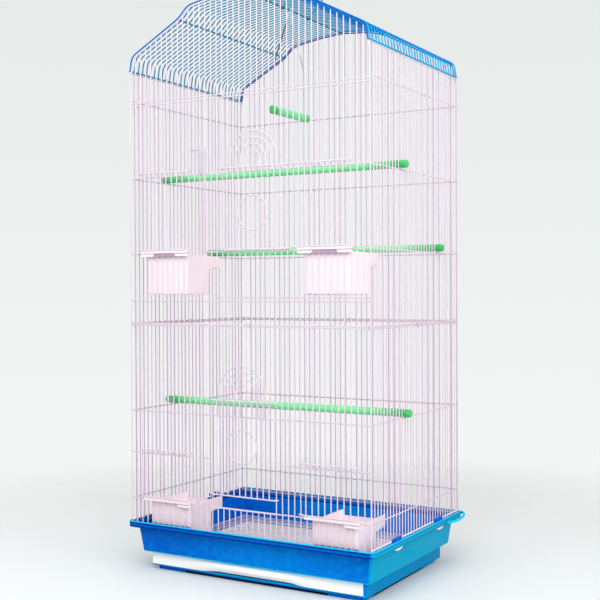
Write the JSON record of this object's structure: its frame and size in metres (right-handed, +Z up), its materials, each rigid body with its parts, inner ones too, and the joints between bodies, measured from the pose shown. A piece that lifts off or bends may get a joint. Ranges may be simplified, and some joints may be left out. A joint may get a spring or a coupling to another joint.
{
  "type": "bird cage",
  "caption": "Tall wire bird cage with a gabled wire roof, lifting doors, hanging seed cups, perches, a swing and a plastic base with a slide-out tray.",
  "frame": {"origin": "on the floor, under the middle of the base", "axes": "+Z up, the front with its doors faces -Y, +X to the right as the front is seen"},
  "size_m": [0.4946, 0.356, 0.9997],
  "materials": {
    "white_wire": "gloss",
    "blue_wire": "gloss",
    "blue_plastic": "gloss",
    "white_plastic": "satin",
    "pink_white_plastic": "satin",
    "green_plastic": "satin",
    "clip_metal": "satin"
  },
  "bodies": {
    "cage": {"base": "blue_plastic", "floor_grille": "white_wire", "front_lower_panel": "white_wire", "back_lower_panel": "white_wire", "front_upper_panel": "white_wire", "back_upper_panel": "white_wire", "left_lower_panel": "white_wire", "left_upper_panel": "white_wire", "right_lower_panel": "white_wire", "right_upper_panel": "white_wire", "roof": "blue_wire", "lower_left_cup": "pink_white_plastic", "lower_right_cup": "pink_white_plastic", "upper_left_cup": "pink_white_plastic", "upper_right_cup": "pink_white_plastic", "low_perch": "green_plastic", "middle_perch": "green_plastic", "high_perch": "green_plastic", "seam_clip_front_middle": "clip_metal", "seam_clip_back_middle": "clip_metal", "seam_clip_left_middle": "clip_metal", "seam_clip_right_middle": "clip_metal", "seam_clip_front_left": "clip_metal", "seam_clip_front_right": "clip_metal", "seam_clip_back_left": "clip_metal", "seam_clip_back_right": "clip_metal", "base_clip_left_front": "blue_plastic", "base_clip_left_rear": "blue_plastic", "base_clip_right_front": "blue_plastic", "base_clip_right_rear": "blue_plastic"},
    "tray": {"slide_out_tray": "white_plastic"},
    "lower_main_door": {"lower_main_door": "white_wire"},
    "upper_main_door": {"upper_main_door": "white_wire"},
    "lower_left_feeder_door": {"lower_left_feeder_door": "white_wire"},
    "lower_right_feeder_door": {"lower_right_feeder_door": "white_wire"},
    "upper_left_feeder_door": {"upper_left_feeder_door": "white_wire"},
    "upper_right_feeder_door": {"upper_right_feeder_door": "white_wire"},
    "carry_handle": {"carry_handle": "blue_wire"},
    "swing": {"swing_wire": "white_wire", "swing_perch": "green_plastic"}
  },
  "joints": [
    {"name": "tray_slide", "type": "slide", "parent": "cage", "child": "tray", "axis": [0, -1, 0], "range_m": [0, 0.27]},
    {"name": "lower_main_door_slide", "type": "slide", "parent": "cage", "child": "lower_main_door", "axis": [0, 0, 1], "range_m": [-0.0195, 0.11]},
    {"name": "upper_main_door_slide", "type": "slide", "parent": "cage", "child": "upper_main_door", "axis": [0, 0, 1], "range_m": [0, 0.11]},
    {"name": "lower_left_feeder_door_slide", "type": "slide", "parent": "cage", "child": "lower_left_feeder_door", "axis": [0, 0, 1], "range_m": [0, 0.06]},
    {"name": "lower_right_feeder_door_slide", "type": "slide", "parent": "cage", "child": "lower_right_feeder_door", "axis": [0, 0, 1], "range_m": [0, 0.06]},
    {"name": "upper_left_feeder_door_slide", "type": "slide", "parent": "cage", "child": "upper_left_feeder_door", "axis": [0, 0, 1], "range_m": [0, 0.11]},
    {"name": "upper_right_feeder_door_slide", "type": "slide", "parent": "cage", "child": "upper_right_feeder_door", "axis": [0, 0, 1], "range_m": [0, 0.11]},
    {"name": "carry_handle_hinge", "type": "hinge", "parent": "cage", "child": "carry_handle", "pos_m": [0, 0, 0.9573], "axis": [0, 1, 0], "range_deg": [-133, 43]},
    {"name": "swing_hinge", "type": "hinge", "parent": "cage", "child": "swing", "pos_m": [0, -0.0219, 0.9573], "axis": [0, 1, 0], "range_deg": [-30, 30]}
  ]
}
